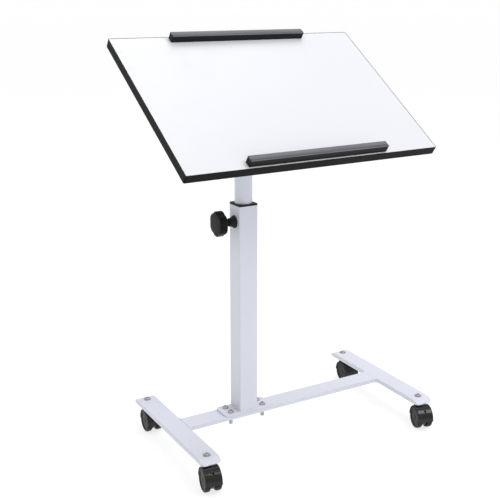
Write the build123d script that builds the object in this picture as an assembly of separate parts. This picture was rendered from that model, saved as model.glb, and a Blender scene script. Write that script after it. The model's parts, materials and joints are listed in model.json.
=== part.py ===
"""Portable drawing board on a wheeled H-shaped stand.

Everything is first built about the column's axis, with the floor at z = 0, +X along the board's long
side and +Y away from the person who draws. The whole model then moves so that its origin is the
centre of its footprint on the floor. Lengths are in millimetres and angles in degrees.
"""
from build123d import *
from math import cos, hypot, radians, sin
import os

# ---- the board
BOARD_W = 600
BOARD_D = 400
BOARD_T = 18
LAMINATE_T = 0.5
BAND_T = 1.5
BAND_CORNER_R = 3
BOARD_TILT = 34.5
BOARD_TURN = 1.6
BOARD_RIGHT = 68.5
BOARD_BACK = 8

# ---- the two stop bars
STOP_L = 330
STOP_SIDE = 16
STOP_EDGE_R = 1.8
STOP_END_R = 1
STOP_SLOT_GAP = 0.1
STOP_FRONT_GAP = 4.5
STOP_BACK_GAP = 3
STOP_SCREW_X = (-130, 0, 130)
STOP_SCREW_L = 27

# ---- wood screws, with a cross recess
WOOD_SHANK_R = 2
WOOD_HEAD_R = 4
WOOD_POINT_L = 3
WOOD_POINT_R = 0.4
SINK_DEPTH = 2.2
PAN_HEAD_H = 2.2
CROSS_W = 1
CROSS_DEPTH = 1.2
PILOT_GAP = 0.05

# ---- the mast, its head and the tilt pivot
PIVOT_Z = 726.5
PIVOT_DROP = 28
PIVOT_R = 4
TUBE_R = 19
TUBE_WALL = 1.5
TUBE_TOP = 690
TUBE_L = 420
RUN_GAP = 0.1
THREAD_GAP = 0.05

# ---- the tilt head: a bracket under the board, a yoke on the mast, and their clamp
BRACKET_SIZE = (150, 110, 2.5)
BRACKET_CORNER_R = 12
BRACKET_SCREWS = [(x, y) for x in (-62, 0, 62) for y in (-44, 44)]
BRACKET_SCREW_L = 14
YOKE_OUT = 20.5
YOKE_T = 3
YOKE_HALF_D = 19
YOKE_FLOOR_T = 3
YOKE_SHOULDER_H = 10
EAR_R = 14
EAR_T = 3
EAR_FOOT_HALF = 20
EAR_FOOT_LOW = 6
FRICTION_T = 1.5
FRICTION_R = 11
EAR_IN = YOKE_OUT + FRICTION_T + RUN_GAP
EAR_OUT = EAR_IN + EAR_T
PIVOT_BOLT_TIP = 48
TILT_WASHER_R = 10
TILT_WASHER_T = 1.5
TILT_KNOB_R = 22
TILT_KNOB_T = 13
TILT_HUB_R = 9
TILT_HUB_L = 11
TILT_KNOB_BORE_L = 24

# ---- the column
COLUMN_SIDE = 45
COLUMN_WALL = 1.5
COLUMN_CORNER_R = 3
COLUMN_TOP = 540
CAP_T = 4
CAP_SLEEVE_L = 28
CAP_EDGE_R = 0.8
GLIDE_L = 22
GLIDE_SPIGOT_L = 18
GLIDE_BORE_R = 12

# ---- the height clamp on the column's left face
CLAMP_Z = 504.5
CLAMP_SCREW_R = 4
CLAMP_HOLE_R = 4.5
KNOB_R = 27.5
KNOB_T = 19
KNOB_FAR = 69
KNOB_LOBES = 6
KNOB_HUB_R = 8.5
KNOB_BORE_DEPTH = 8
VALLEY_REACH = 1.40
VALLEY_R = 0.48
LOBE_CORNER_R = 0.14
LOBE_EDGE_R = 0.16
SHROUD_R = 14
SHROUD_L = 13
SHROUD_GAP = 2.5
BOSS_R = 8
BOSS_L = 11
SCREW_TIP_X = 21.6
PAD_R = 3.6

# ---- the base
BASE_TOP = 66
BASE_DEPTH = 10
SHEET_T = 1.8
LEG_W = 45
LEG_L = 350
LEG_SLOPE = 13
LEG_LEFT_X = -172.5
LEG_RIGHT_X = 382.5
CROSSBAR_W = 45
CROSSBAR_FLARE_R = 8
LEG_CORNER_R = 9
LEG_KINK_R = 12
LEG_EDGE_R = 1.6
LEG_LIP = 2
CROSSBAR_EDGE_R = 1.2
FOOT_PLATE = (120, 48, 4)
FOOT_PLATE_CORNER_R = 8
FOOT_BOLT_X = 41
FOOT_BOLT_Y = 12.5
FOOT_BOLTS = [(x, y) for x in (-FOOT_BOLT_X, FOOT_BOLT_X) for y in (-FOOT_BOLT_Y, FOOT_BOLT_Y)]
FOOT_BOLT_R = 4
FOOT_BOLT_TIP = 42
FOOT_HEAD_R = 7
FOOT_HEAD_H = 4.7
FOOT_SOCKET_R = 2.6
FOOT_WASHER_R = 7.2
FOOT_WASHER_T = 1.5
FOOT_NUT_ACROSS = 13
FOOT_NUT_H = 6
HOLE_GAP = 0.2

# ---- the casters
CASTER_Y = 150
CASTER_TRAIL = 24
WHEEL_R = 25
WHEEL_W = 12
WHEEL_GAP = 12
WHEEL_HUB_R = 7
TREAD_EDGE_R = 2.2
DISH_R = 20.5
DISH_DEPTH = 1
HOLLOW_R = 21
HOLLOW_DEPTH = 7
AXLE_R = 3
STEM_R = 4.5
STEM_LOW = 32
STEM_FLANGE_R = 9
STEM_FLANGE_T = 2.6
HOOD_IN = WHEEL_R + 0.9
HOOD_OUT = WHEEL_R + 2.6
HOOD_LOW = WHEEL_R - 2
HOOD_EDGE_R = 1.5
WEB_HUB_R = 20
WEB_CLEAR = 0.4
WEB_BITE = 0.5
WEB_BEHIND = 3
FLANGE_GAP = 0.6
WEB_TOP = 51
SOCKET_R = 10
PAIR_W = 2 * WHEEL_W + WHEEL_GAP
SLOT_SIZE = (5, 9, 6)
SLOT_ANGLE = 48
CASTER_SCREW_R = 3
CASTER_SCREW_L = 20
BUTTON_R = 5.75
BUTTON_H = 3
BUTTON_SOCKET_R = 2.1
CASTER_WASHER_R = 8
CASTER_WASHER_T = 1.4
CASTERS = {
    "front_left": (LEG_LEFT_X, -CASTER_Y, -10),
    "front_right": (LEG_RIGHT_X, -CASTER_Y, -16),
    "rear_left": (LEG_LEFT_X, CASTER_Y, -3),
    "rear_right": (LEG_RIGHT_X, CASTER_Y, -5),
}

# ---- frames used by the pieces
HEAD_FRAME = Pos(0, 0, PIVOT_Z) * Rot(0, 0, BOARD_TURN)
TILT_FRAME = HEAD_FRAME * Rot(BOARD_TILT, 0, 0)
BOARD_FRAME = TILT_FRAME * Pos(BOARD_RIGHT, BOARD_BACK, PIVOT_DROP + BOARD_T)

# ---- how far a cutting body runs past the surface that it cuts
PAST = 1
SKIM = 0.01


def box(x, y, z):
    """A box from three (low, high) pairs."""
    centre = Pos(sum(x) / 2, sum(y) / 2, sum(z) / 2)
    return centre * Box(x[1] - x[0], y[1] - y[0], z[1] - z[0])


def rod(radius, z0, z1, x=0, y=0):
    """A round bar along Z."""
    return Pos(x, y, (z0 + z1) / 2) * Cylinder(radius, z1 - z0)


def rod_x(radius, x0, x1, y=0, z=0):
    """A round bar along X."""
    return Pos((x0 + x1) / 2, y, z) * Rot(0, 90, 0) * Cylinder(radius, x1 - x0)


def rounded_slab(width, depth, z0, z1, radius):
    """A flat slab with its four upright corners rounded."""
    return Pos(0, 0, z0) * extrude(RectangleRounded(width, depth, radius), z1 - z0)


def turned(points):
    """A body turned about Z from (radius, height) points."""
    outline = Polyline(*[(r, 0, z) for r, z in points], close=True)
    return revolve(make_face(outline), Axis.Z)


# ---------------------------------------------------------------- board
def stop_bar_y():
    """The middle of the front and of the back stop bar, on the board."""
    front = -BOARD_D / 2 + STOP_FRONT_GAP + STOP_SIDE / 2
    back = BOARD_D / 2 - STOP_BACK_GAP - STOP_SIDE / 2
    return front, back


def cross_recess(z0, z1):
    """The cross that a driver's tip fills, centred on Z."""
    half = CROSS_W / 2
    return box((-half, half), (-2, 2), (z0, z1)) + box((-2, 2), (-half, half), (z0, z1))


def wood_screw(length, countersunk):
    """A screw driven upwards. Its head starts at z = 0 if it is countersunk, and ends there if it isn't."""
    shank = turned(
        [(0, 0), (WOOD_SHANK_R, 0), (WOOD_SHANK_R, length - WOOD_POINT_L), (WOOD_POINT_R, length), (0, length)]
    )
    if countersunk:
        head = turned([(0, 0), (WOOD_HEAD_R, 0), (WOOD_SHANK_R, SINK_DEPTH), (0, SINK_DEPTH)])
        return head + shank - cross_recess(-PAST, CROSS_DEPTH)
    low = -PAN_HEAD_H
    head = turned(
        [(0, low), (WOOD_HEAD_R * 0.7, low), (WOOD_HEAD_R, low * 0.4), (WOOD_HEAD_R, 0), (0, 0)]
    )
    return head + shank - cross_recess(low - PAST, low + CROSS_DEPTH)


def bracket_screw_holes():
    """The pilot holes of the bracket's screws, in the board's own frame."""
    z0 = -BOARD_T - BRACKET_SIZE[2]
    z1 = z0 + BRACKET_SCREW_L + HOLE_GAP
    radius = WOOD_SHANK_R + PILOT_GAP
    return [rod(radius, z0, z1, x - BOARD_RIGHT, y - BOARD_BACK) for x, y in BRACKET_SCREWS]


def stop_screw_places():
    """Where each stop bar's screws go through the board."""
    return [(x, y) for y in stop_bar_y() for x in STOP_SCREW_X]


def stop_screw_holes():
    """Countersunk clearance holes for the stop bars' screws."""
    hole_r = WOOD_SHANK_R + PILOT_GAP
    sink_r = WOOD_HEAD_R + PILOT_GAP
    end = STOP_SCREW_L + HOLE_GAP
    sink = turned([(0, 0), (sink_r, 0), (hole_r, SINK_DEPTH), (hole_r, end), (0, end)])
    sink += rod(sink_r, -HOLE_GAP, 0)
    return [Pos(x, y, -BOARD_T) * sink for x, y in stop_screw_places()]


def board_layer(z0, z1):
    """One layer of the board, inside the edge band and with the fixing holes cut."""
    layer = box(
        (-BOARD_W / 2 + BAND_T, BOARD_W / 2 - BAND_T), (-BOARD_D / 2 + BAND_T, BOARD_D / 2 - BAND_T), (z0, z1)
    )
    for hole in bracket_screw_holes() + stop_screw_holes():
        layer -= hole
    return layer


def edge_band():
    """The black edging strip round all four sides."""
    outer = rounded_slab(BOARD_W, BOARD_D, -BOARD_T, 0, BAND_CORNER_R)
    inner = box(
        (-BOARD_W / 2 + BAND_T, BOARD_W / 2 - BAND_T),
        (-BOARD_D / 2 + BAND_T, BOARD_D / 2 - BAND_T),
        (-BOARD_T - PAST, PAST),
    )
    return outer - inner


def top_laminate():
    """The white sheet on top, cut away where the two stop bars are let in."""
    sheet = board_layer(-LAMINATE_T, 0)
    half_l = STOP_L / 2 + STOP_SLOT_GAP
    half_d = STOP_SIDE / 2 + STOP_SLOT_GAP
    for y in stop_bar_y():
        sheet -= box((-half_l, half_l), (y - half_d, y + half_d), (-LAMINATE_T - PAST, PAST))
    return sheet


def stop_bar(y):
    """A bar that keeps paper or a book from sliding off, let in through the laminate."""
    bar = box((-STOP_L / 2, STOP_L / 2), (y - STOP_SIDE / 2, y + STOP_SIDE / 2), (-LAMINATE_T, STOP_SIDE))
    bar = fillet(bar.edges().filter_by(Axis.X), STOP_EDGE_R)
    for end in (0, -1):
        bar = fillet(bar.faces().sort_by(Axis.X)[end].edges(), STOP_END_R)
    for hole in stop_screw_holes():
        bar -= hole
    return bar


def stop_screws():
    """The countersunk screws that hold both stop bars from below."""
    screw = wood_screw(STOP_SCREW_L, True)
    return Compound(children=[Pos(x, y, -BOARD_T) * screw for x, y in stop_screw_places()])


# ---------------------------------------------------------------- tilt head
def pivot_hole(radius):
    """A cutter along the pivot, long enough for every piece on it."""
    return rod_x(radius, -60, 60)


def side_pair(side, near, far):
    """The (low, high) pair of a piece between two distances from the middle, on one side of it."""
    return sorted((side * near, side * far))


def tilt_bracket():
    """The plate under the board, with two ears that straddle the yoke. Its frame is the pivot's."""
    width, depth, thick = BRACKET_SIZE
    low = PIVOT_DROP - thick
    plate = rounded_slab(width, depth, low, PIVOT_DROP, BRACKET_CORNER_R)
    for x, y in BRACKET_SCREWS:
        plate -= rod(WOOD_SHANK_R + 0.3, low - PAST, PIVOT_DROP + PAST, x, y)
    for side in (-1, 1):
        x_pair = side_pair(side, EAR_IN, EAR_OUT)
        ear = box(x_pair, (-EAR_FOOT_HALF, EAR_FOOT_HALF), (EAR_FOOT_LOW, low))
        ear += rod_x(EAR_R, *x_pair) + box(x_pair, (-EAR_R, EAR_R), (0, EAR_FOOT_LOW))
        plate += ear
    return plate - pivot_hole(PIVOT_R + THREAD_GAP)


def bracket_screws():
    """Pan-head screws through the plate into the board."""
    screw = wood_screw(BRACKET_SCREW_L, False)
    z = PIVOT_DROP - BRACKET_SIZE[2]
    return Compound(children=[Pos(x, y, z) * screw for x, y in BRACKET_SCREWS])


def pivot_bolt():
    """A carriage bolt along X: dome head on the right, thread on the left for the knob."""
    head = turned([(0, 0), (9, 0), (8.2, 2), (5.5, 3.8), (2.5, 4.6), (0, 4.8)])
    head = Pos(EAR_OUT, 0, 0) * Rot(0, 90, 0) * head
    return head + rod_x(PIVOT_R, -PIVOT_BOLT_TIP, EAR_OUT)


def friction_washers():
    """The two nylon washers between the yoke and the bracket's ears."""
    near = YOKE_OUT + RUN_GAP / 2
    rings = []
    for side in (-1, 1):
        ring = rod_x(FRICTION_R, *side_pair(side, near, near + FRICTION_T))
        rings.append(ring - pivot_hole(PIVOT_R + RUN_GAP))
    return Compound(children=rings)


def yoke():
    """The U-shaped saddle welded to the top of the round tube. Its frame is the pivot's."""
    floor = TUBE_TOP - PIVOT_Z
    depth = (-YOKE_HALF_D, YOKE_HALF_D)
    saddle = box((-YOKE_OUT, YOKE_OUT), depth, (floor, floor + YOKE_FLOOR_T))
    for side in (-1, 1):
        x_pair = side_pair(side, YOKE_OUT - YOKE_T, YOKE_OUT)
        ear = box(x_pair, depth, (floor, floor + YOKE_SHOULDER_H))
        ear += box(x_pair, (-EAR_R, EAR_R), (floor, 0)) + rod_x(EAR_R, *x_pair)
        saddle += ear
    return saddle - pivot_hole(PIVOT_R + RUN_GAP)


def star_knob(radius, thick, hub_r, hub_l, lobes):
    """A lobed hand knob about Z: its hub starts at z = 0 and its head is on top of it."""
    head = Cylinder(radius, thick)
    reach = radius * VALLEY_REACH
    for i in range(lobes):
        angle = radians((i + 0.5) * 360 / lobes)
        head -= Pos(reach * cos(angle), reach * sin(angle), 0) * Cylinder(radius * VALLEY_R, thick + 2 * PAST)
    head = fillet(head.edges().filter_by(Axis.Z), radius * LOBE_CORNER_R)
    head = fillet(head.faces().sort_by(Axis.Z)[-1].edges(), thick * LOBE_EDGE_R)
    head = fillet(head.faces().sort_by(Axis.Z)[0].edges(), thick * LOBE_EDGE_R)
    head = Pos(0, 0, hub_l + thick / 2) * head
    return head + rod(hub_r, 0, hub_l + PAST)


def tilt_knob():
    """The hand knob on the pivot bolt's threaded end, left of the bracket. Its frame is the pivot's."""
    knob = star_knob(TILT_KNOB_R, TILT_KNOB_T, TILT_HUB_R, TILT_HUB_L, KNOB_LOBES)
    knob -= rod(PIVOT_R + THREAD_GAP, -PAST, TILT_KNOB_BORE_L)
    start = EAR_OUT + TILT_WASHER_T + 2 * RUN_GAP
    return Pos(-start, 0, 0) * Rot(0, -90, 0) * knob


def tilt_washer():
    """The steel washer under the tilt knob."""
    near = EAR_OUT + RUN_GAP / 2
    ring = rod_x(TILT_WASHER_R, -near - TILT_WASHER_T, -near)
    return ring - pivot_hole(PIVOT_R + RUN_GAP)


# ---------------------------------------------------------------- mast and column
def inner_tube():
    """The round tube that slides and turns in the column."""
    z0 = TUBE_TOP - TUBE_L
    return rod(TUBE_R, z0, TUBE_TOP) - rod(TUBE_R - TUBE_WALL, z0 - PAST, TUBE_TOP + PAST)


def tube_glide():
    """The square nylon foot that keeps the tube's lower end centred in the column."""
    side = COLUMN_SIDE - 2 * COLUMN_WALL - 2 * RUN_GAP
    z1 = TUBE_TOP - TUBE_L - RUN_GAP
    z0 = z1 - GLIDE_L
    block = rounded_slab(side, side, z0, z1, COLUMN_CORNER_R - COLUMN_WALL + RUN_GAP)
    spigot = rod(TUBE_R - TUBE_WALL - RUN_GAP, z1, z1 + GLIDE_SPIGOT_L)
    return block + spigot - rod(GLIDE_BORE_R, z0 - PAST, z1 + GLIDE_SPIGOT_L + PAST)


def square_tube(side, wall, radius, z0, z1):
    """A square steel tube with rolled corners."""
    outer = rounded_slab(side, side, z0, z1, radius)
    inner = rounded_slab(side - 2 * wall, side - 2 * wall, z0 - PAST, z1 + PAST, radius - wall)
    return outer - inner


def column():
    """The square column, with the clamp screw's hole in its left face."""
    z0 = BASE_TOP + FOOT_PLATE[2]
    tube = square_tube(COLUMN_SIDE, COLUMN_WALL, COLUMN_CORNER_R, z0, COLUMN_TOP)
    return tube - rod_x(CLAMP_HOLE_R, -COLUMN_SIDE, 0, z=CLAMP_Z)


def column_cap():
    """The black bush in the column's mouth: a square flange and a sleeve round the tube."""
    inside = COLUMN_SIDE - 2 * COLUMN_WALL
    flange = rounded_slab(COLUMN_SIDE, COLUMN_SIDE, COLUMN_TOP, COLUMN_TOP + CAP_T, COLUMN_CORNER_R)
    flange = fillet(flange.faces().sort_by(Axis.Z)[-1].edges(), CAP_EDGE_R)
    z0 = COLUMN_TOP - CAP_SLEEVE_L
    sleeve = rounded_slab(inside, inside, z0, COLUMN_TOP, COLUMN_CORNER_R - COLUMN_WALL)
    return flange + sleeve - rod(TUBE_R + RUN_GAP, z0 - PAST, COLUMN_TOP + CAP_T + PAST)


def screw_boss():
    """The threaded bush welded on the column's left face."""
    face = -COLUMN_SIDE / 2
    bush = rod_x(BOSS_R, face - BOSS_L, face, z=CLAMP_Z)
    return bush - rod_x(CLAMP_SCREW_R + THREAD_GAP, face - BOSS_L - PAST, face + PAST, z=CLAMP_Z)


def boss_shroud():
    """The black bell that covers the welded bush."""
    outer = turned([(0, 0), (SHROUD_R, 0), (13.2, 2.5), (10.6, 6), (9.2, 10), (9, SHROUD_L), (0, SHROUD_L)])
    inner = rod(BOSS_R + THREAD_GAP, -PAST, BOSS_L + HOLE_GAP) + rod(CLAMP_HOLE_R, -PAST, SHROUD_L + PAST)
    return Pos(-COLUMN_SIDE / 2, 0, CLAMP_Z) * Rot(0, -90, 0) * (outer - inner)


def clamp_knob():
    """The star knob of the height clamp, with its hub towards the column."""
    hub_start = COLUMN_SIDE / 2 + SHROUD_L + SHROUD_GAP
    hub_l = KNOB_FAR - KNOB_T - hub_start
    knob = star_knob(KNOB_R, KNOB_T, KNOB_HUB_R, hub_l, KNOB_LOBES)
    knob -= rod(CLAMP_SCREW_R + THREAD_GAP, -PAST, hub_l + KNOB_BORE_DEPTH)
    return Pos(-hub_start, 0, CLAMP_Z) * Rot(0, -90, 0) * knob


def clamp_screw():
    """The threaded stud moulded into the knob."""
    end = KNOB_FAR - KNOB_T + KNOB_BORE_DEPTH - RUN_GAP
    return rod_x(CLAMP_SCREW_R, -end, -SCREW_TIP_X, z=CLAMP_Z)


def pressure_pad():
    """The small nylon pad between the screw's tip and the round tube."""
    return rod_x(PAD_R, THREAD_GAP - SCREW_TIP_X, -TUBE_R - THREAD_GAP, z=CLAMP_Z)


# ---------------------------------------------------------------- base
def foot_plate():
    """The flange welded to the column's foot."""
    width, depth, thick = FOOT_PLATE
    plate = rounded_slab(width, depth, BASE_TOP, BASE_TOP + thick, FOOT_PLATE_CORNER_R)
    for x, y in FOOT_BOLTS:
        plate -= rod(FOOT_BOLT_R + HOLE_GAP, BASE_TOP - PAST, BASE_TOP + thick + PAST, x, y)
    return plate


def foot_bolts():
    """Four dome-head bolts down through the flange and the crossbar."""
    seat = BASE_TOP + FOOT_PLATE[2]
    top = FOOT_HEAD_H
    head = turned([(0, 0), (FOOT_HEAD_R, 0), (FOOT_HEAD_R, 1.6), (6.2, 3.4), (4.2, top), (0, top)])
    socket = Pos(0, 0, top / 2) * extrude(RegularPolygon(FOOT_SOCKET_R, 6), top)
    tip = FOOT_BOLT_TIP - seat
    shank = turned([(0, tip), (FOOT_BOLT_R - 1, tip), (FOOT_BOLT_R, tip + 1), (FOOT_BOLT_R, 0), (0, 0)])
    bolt = head - socket + shank
    return Compound(children=[Pos(x, y, seat) * bolt for x, y in FOOT_BOLTS])


def foot_washers():
    """Washers under the sheet, inside the crossbar."""
    z1 = BASE_TOP - SHEET_T
    z0 = z1 - FOOT_WASHER_T
    ring = rod(FOOT_WASHER_R, z0, z1) - rod(FOOT_BOLT_R + RUN_GAP, z0 - PAST, z1 + PAST)
    return Compound(children=[Pos(x, y, 0) * ring for x, y in FOOT_BOLTS])


def foot_nuts():
    """Hexagon nuts on the bolts, hidden in the crossbar."""
    z1 = BASE_TOP - SHEET_T - FOOT_WASHER_T
    z0 = z1 - FOOT_NUT_H
    nut = Pos(0, 0, z0) * extrude(RegularPolygon(FOOT_NUT_ACROSS / 2, 6, major_radius=False), FOOT_NUT_H)
    nut -= rod(FOOT_BOLT_R + THREAD_GAP, z0 - PAST, z1 + PAST)
    return Compound(children=[Pos(x, y, 0) * nut for x, y in FOOT_BOLTS])


def leg_body(width, half, slope, lip, z0, z1, corner_r, kink_r):
    """A solid bar along Y with round corners, whose ends roll down to a low lip."""
    side = Polyline(
        (0, -half, z0), (0, -half, z0 + lip), (0, -half + slope, z1), (0, half - slope, z1),
        (0, half, z0 + lip), (0, half, z0), close=True,
    )
    rolled = Pos(-width / 2, 0, 0) * extrude(make_face(side), width, dir=(1, 0, 0))
    kinks = [e for e in rolled.edges().filter_by(Axis.X) if e.center().Z > z1 - SKIM]
    return fillet(kinks, kink_r) & rounded_slab(width, 2 * half, z0, z1, corner_r)


def leg_rim(body, half, lip_z):
    """The edges round the top of a leg body, without the smooth lines across it."""
    high = [e for e in body.edges() if e.bounding_box().min.Z > lip_z - SKIM]
    across = [e for e in body.edges().filter_by(Axis.X) if abs(e.center().Y) < half - SKIM]
    return [e for e in high if e not in across]


def leg(x):
    """One floor leg: an inverted sheet channel whose ends slope down, with its caster holes."""
    low = BASE_TOP - BASE_DEPTH
    half = LEG_L / 2
    outer = leg_body(LEG_W, half, LEG_SLOPE, LEG_LIP, low, BASE_TOP, LEG_CORNER_R, LEG_KINK_R)
    outer = fillet(leg_rim(outer, half, low + LEG_LIP), LEG_EDGE_R)
    ceiling = BASE_TOP - SHEET_T
    drop = BASE_DEPTH - LEG_LIP
    shift = SHEET_T * hypot(LEG_SLOPE, drop) / drop
    slope_in = LEG_SLOPE + shift - SHEET_T * LEG_SLOPE / drop - SHEET_T
    lip_in = LEG_LIP - (shift - SHEET_T) * drop / LEG_SLOPE
    inner = leg_body(
        LEG_W - 2 * SHEET_T, half - SHEET_T, slope_in, lip_in, low - SKIM, ceiling,
        LEG_CORNER_R - SHEET_T, LEG_KINK_R - SHEET_T,
    )
    shell = outer - inner
    for y in (-CASTER_Y, CASTER_Y):
        shell -= rod(CASTER_SCREW_R + HOLE_GAP, ceiling - PAST, BASE_TOP + PAST, 0, y)
    return Pos(x, 0, 0) * shell


def flared_bar(length, width, flare, z0, z1):
    """A bar along X whose ends widen with concave corners."""
    plan = Rectangle(length, width)
    for sx in (-1, 1):
        for sy in (-1, 1):
            corner = Pos(sx * (length - flare) / 2, sy * (width + flare) / 2) * Rectangle(flare, flare)
            bite = Pos(sx * (length / 2 - flare), sy * (width / 2 + flare)) * Circle(flare)
            plan += corner - bite
    return Pos(0, 0, z0) * extrude(plan, z1 - z0)


def crossbar():
    """The bar between the legs: an inverted sheet channel, welded to both."""
    x0 = LEG_LEFT_X + LEG_W / 2
    x1 = LEG_RIGHT_X - LEG_W / 2
    length = x1 - x0
    outer = flared_bar(length, CROSSBAR_W, CROSSBAR_FLARE_R, BASE_TOP - BASE_DEPTH, BASE_TOP)
    long_top = [e for e in outer.edges().filter_by(Axis.X) if e.center().Z > BASE_TOP - 1]
    outer = fillet(long_top, CROSSBAR_EDGE_R)
    ceiling = BASE_TOP - SHEET_T
    inner_r = CROSSBAR_FLARE_R + SHEET_T
    low = BASE_TOP - BASE_DEPTH - PAST
    inner = flared_bar(length + 2 * SKIM, CROSSBAR_W - 2 * SHEET_T, inner_r, low, ceiling)
    bar = Pos((x0 + x1) / 2, 0, 0) * (outer - inner)
    for x, y in FOOT_BOLTS:
        bar -= rod(FOOT_BOLT_R + HOLE_GAP, ceiling - PAST, BASE_TOP + PAST, x, y)
    return bar


# ---------------------------------------------------------------- casters
def caster_frame(name):
    """Where a caster stands: its swivel axis on the floor, turned so that it trails along its -Y."""
    x, y, turn = CASTERS[name]
    return Pos(x, y, 0) * Rot(0, 0, turn)


def caster_stem():
    """The swivel pin that is screwed to the leg."""
    z1 = BASE_TOP - SHEET_T
    pin = rod(STEM_R, STEM_LOW, z1) + rod(STEM_FLANGE_R, z1 - STEM_FLANGE_T, z1)
    return pin - rod(CASTER_SCREW_R + THREAD_GAP, z1 - CASTER_SCREW_L, z1 + PAST)


def caster_screws():
    """Button-head screws down through the legs into the stems."""
    seat = BASE_TOP + CASTER_WASHER_T
    head = turned([(0, 0), (BUTTON_R, 0), (BUTTON_R, 1), (4.6, 2.6), (0, BUTTON_H)])
    socket = Pos(0, 0, 1.2) * extrude(RegularPolygon(BUTTON_SOCKET_R, 6), BUTTON_H)
    screw = head - socket + rod(CASTER_SCREW_R, -CASTER_SCREW_L, 0)
    return Compound(children=[Pos(x, y, seat) * screw for x, y, _ in CASTERS.values()])


def caster_washers():
    """Flat washers under the button heads."""
    top = BASE_TOP + CASTER_WASHER_T
    ring = rod(CASTER_WASHER_R, BASE_TOP, top) - rod(CASTER_SCREW_R + RUN_GAP, BASE_TOP - PAST, top + PAST)
    return Compound(children=[Pos(x, y, 0) * ring for x, y, _ in CASTERS.values()])


def caster_housing():
    """The hood over both wheels, the web between them and the socket of the swivel pin."""
    half = WHEEL_GAP / 2 - WEB_CLEAR
    axle = Pos(0, -CASTER_TRAIL, WHEEL_R)
    tall = 2 * WHEEL_R + HOOD_OUT
    reach = (-CASTER_TRAIL - HOOD_OUT - PAST, 2 * HOOD_OUT)
    above = box((-HOOD_OUT - PAST, HOOD_OUT + PAST), reach, (HOOD_LOW, tall))
    drum = fillet(rod_x(HOOD_OUT, -PAIR_W / 2, PAIR_W / 2).edges(), HOOD_EDGE_R)
    hood = axle * (drum - rod_x(HOOD_IN, -PAIR_W, PAIR_W)) & above
    web = axle * rod_x(HOOD_IN + WEB_BITE, -half, half) & above
    web += axle * rod_x(WEB_HUB_R, -half, half)
    web += box((-half, half), (-CASTER_TRAIL, STEM_R + WEB_BEHIND), (HOOD_LOW, WEB_TOP))
    socket = rod(SOCKET_R, WEB_TOP - WEB_BEHIND, BASE_TOP - SHEET_T - STEM_FLANGE_T - FLANGE_GAP)
    body = hood + web + socket
    body -= rod(STEM_R + RUN_GAP, STEM_LOW - WEB_BITE, tall)
    body -= axle * rod_x(AXLE_R, -PAIR_W, PAIR_W)
    slot = axle * Rot(-SLOT_ANGLE, 0, 0) * Pos(0, -HOOD_OUT, 0) * Box(*SLOT_SIZE)
    return body - slot


def caster_axle():
    """The steel axle pressed through the web."""
    reach = PAIR_W / 2 - 2
    return Pos(0, -CASTER_TRAIL, WHEEL_R) * rod_x(AXLE_R, -reach, reach)


def caster_wheel(side):
    """One wheel: a nylon disc with a rounded tread, dished outside and hollow inside."""
    half = WHEEL_W / 2
    disc = fillet(Cylinder(WHEEL_R, WHEEL_W).edges(), TREAD_EDGE_R)
    disc -= Pos(0, 0, half) * Cylinder(DISH_R, 2 * DISH_DEPTH)
    disc -= Pos(0, 0, -half) * (Cylinder(HOLLOW_R, 2 * HOLLOW_DEPTH) - Cylinder(WHEEL_HUB_R, WHEEL_W + 7))
    disc -= Pos(0, 0, -half) * Cylinder(AXLE_R + THREAD_GAP, 2 * (WHEEL_W - 2))
    centre = side * (WHEEL_GAP + WHEEL_W) / 2
    return Pos(centre, -CASTER_TRAIL, WHEEL_R) * Rot(0, side * 90, 0) * disc


# ---------------------------------------------------------------- the whole object
def make_nodes():
    """Every node of the model, about the column's axis."""
    front_y, back_y = stop_bar_y()
    nodes = {
        "board_core": BOARD_FRAME * board_layer(-BOARD_T + LAMINATE_T, -LAMINATE_T),
        "top_laminate": BOARD_FRAME * top_laminate(),
        "bottom_laminate": BOARD_FRAME * board_layer(-BOARD_T, -BOARD_T + LAMINATE_T),
        "edge_band": BOARD_FRAME * edge_band(),
        "front_stop": BOARD_FRAME * stop_bar(front_y),
        "back_stop": BOARD_FRAME * stop_bar(back_y),
        "stop_screws": BOARD_FRAME * stop_screws(),
        "tilt_bracket": TILT_FRAME * tilt_bracket(),
        "bracket_screws": TILT_FRAME * bracket_screws(),
        "pivot_bolt": TILT_FRAME * pivot_bolt(),
        "tilt_knob": TILT_FRAME * tilt_knob(),
        "tilt_washer": TILT_FRAME * tilt_washer(),
        "friction_washers": HEAD_FRAME * friction_washers(),
        "yoke": HEAD_FRAME * yoke(),
        "inner_tube": inner_tube(),
        "tube_glide": tube_glide(),
        "column": column(),
        "column_cap": column_cap(),
        "screw_boss": screw_boss(),
        "boss_shroud": boss_shroud(),
        "clamp_knob": clamp_knob(),
        "clamp_screw": clamp_screw(),
        "pressure_pad": pressure_pad(),
        "foot_plate": foot_plate(),
        "foot_bolts": foot_bolts(),
        "foot_washers": foot_washers(),
        "foot_nuts": foot_nuts(),
        "left_leg": leg(LEG_LEFT_X),
        "right_leg": leg(LEG_RIGHT_X),
        "crossbar": crossbar(),
        "caster_screws": caster_screws(),
        "caster_washers": caster_washers(),
    }
    stem, housing, axle = caster_stem(), caster_housing(), caster_axle()
    wheels = {"left": caster_wheel(-1), "right": caster_wheel(1)}
    for name in CASTERS:
        frame = caster_frame(name)
        nodes[f"{name}_stem"] = frame * stem
        nodes[f"{name}_housing"] = frame * housing
        nodes[f"{name}_axle"] = frame * axle
        for side, wheel in wheels.items():
            nodes[f"{name}_{side}_wheel"] = frame * wheel
    return nodes


def footprint_centre(nodes):
    """The middle of the model's plan, at floor level."""
    boxes = [shape.bounding_box() for shape in nodes.values()]
    x = [limit for b in boxes for limit in (b.min.X, b.max.X)]
    y = [limit for b in boxes for limit in (b.min.Y, b.max.Y)]
    floor = min(b.min.Z for b in boxes)
    return Vector((min(x) + max(x)) / 2, (min(y) + max(y)) / 2, floor)


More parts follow.
